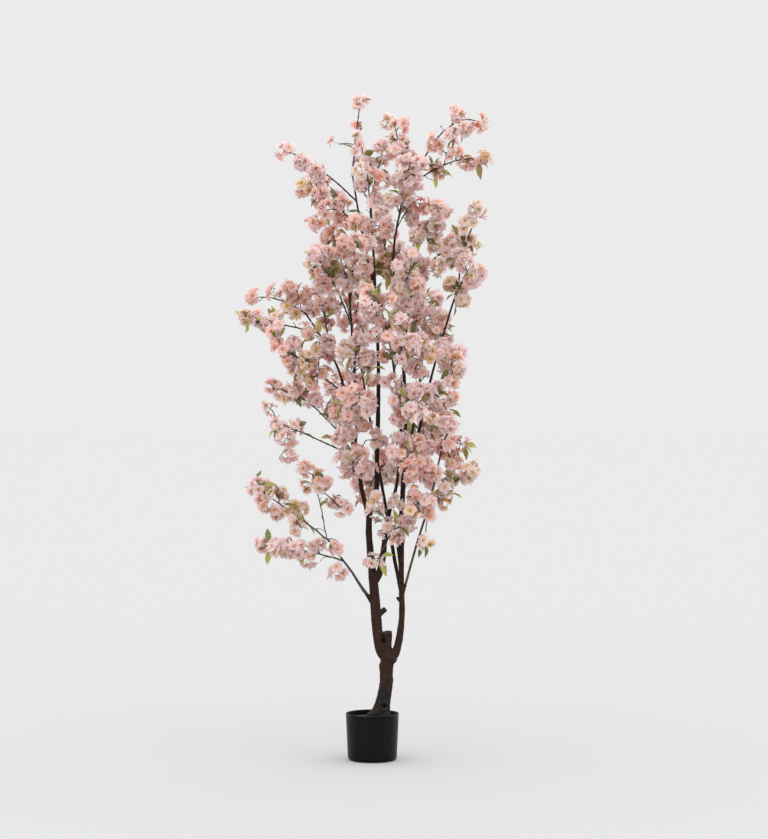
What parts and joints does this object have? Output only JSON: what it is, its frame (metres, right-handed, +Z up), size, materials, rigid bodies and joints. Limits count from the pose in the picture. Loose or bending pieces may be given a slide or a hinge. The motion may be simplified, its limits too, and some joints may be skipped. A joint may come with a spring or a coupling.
{
  "type": "artificial cherry blossom tree in a pot",
  "caption": "Artificial cherry blossom tree: a short trunk that forks into slender stems and open boughs of pink double blossom, standing in a plain round black pot.",
  "frame": {"origin": "middle of the pot's flat underside", "axes": "+Z up the tree, +X to the right as seen from the front, -Y towards the front"},
  "size_m": [0.7982, 0.5862, 2.0985],
  "materials": {
    "pot": "semi-matte black moulded plastic",
    "pot_fill": "rough dark fill",
    "bark": "rough dark grey-brown bark",
    "blossom_rose": "matt woven petals with olive leaves",
    "blossom_coral": "matt woven petals with olive leaves",
    "blossom_pale": "matt woven petals with olive leaves",
    "blossom_cream": "matt woven petals with olive leaves",
    "blossom_deep": "matt woven petals with olive leaves"
  },
  "bodies": {
    "root": {"pot": "pot", "pot_fill": "pot_fill", "trunk": "bark", "left_stem": "bark", "right_stem": "bark", "left_fork": "bark", "front_stem": "bark", "back_left_stem": "bark", "back_right_stem": "bark", "low_left": "bark", "low_right": "bark", "left_high": "bark", "far_right": "bark", "right_high": "bark", "top_left": "bark", "low_left_end": "blossom_rose", "low_left_under": "blossom_coral", "left_mid_end": "blossom_pale", "left_mid_rise": "blossom_cream", "left_shoulder": "blossom_deep", "left_high_end": "blossom_rose", "left_high_under": "blossom_coral", "left_inner_rise": "blossom_pale", "left_rise": "blossom_cream", "left_crown": "blossom_deep", "inner_left_rise": "blossom_rose", "top_left_tip": "blossom_coral", "top_left_arm": "blossom_pale", "top_left_low": "blossom_cream", "centre_top": "blossom_deep", "centre_low": "blossom_rose", "right_top": "blossom_coral", "right_top_front": "blossom_pale", "top_right_tip": "blossom_cream", "top_right_low": "blossom_deep", "right_arm": "blossom_rose", "right_high_end": "blossom_coral", "far_right_top": "blossom_pale", "far_right_high": "blossom_cream", "far_right_back": "blossom_deep", "far_right_mid": "blossom_rose", "far_right_low": "blossom_coral", "low_right_top": "blossom_pale", "low_right_end": "blossom_cream", "low_right_in": "blossom_deep", "front_low": "blossom_rose", "front_mid": "blossom_coral", "front_left": "blossom_pale", "front_left_up": "blossom_cream", "left_centre": "blossom_deep", "front_high": "blossom_rose", "front_crown": "blossom_coral", "front_right": "blossom_pale", "crown_front": "blossom_cream", "back_left_mid": "blossom_deep", "back_left_top": "blossom_rose", "back_centre": "blossom_coral", "back_right_mid": "blossom_pale", "back_right_top": "blossom_cream", "back_crown": "blossom_deep"}
  },
  "joints": []
}
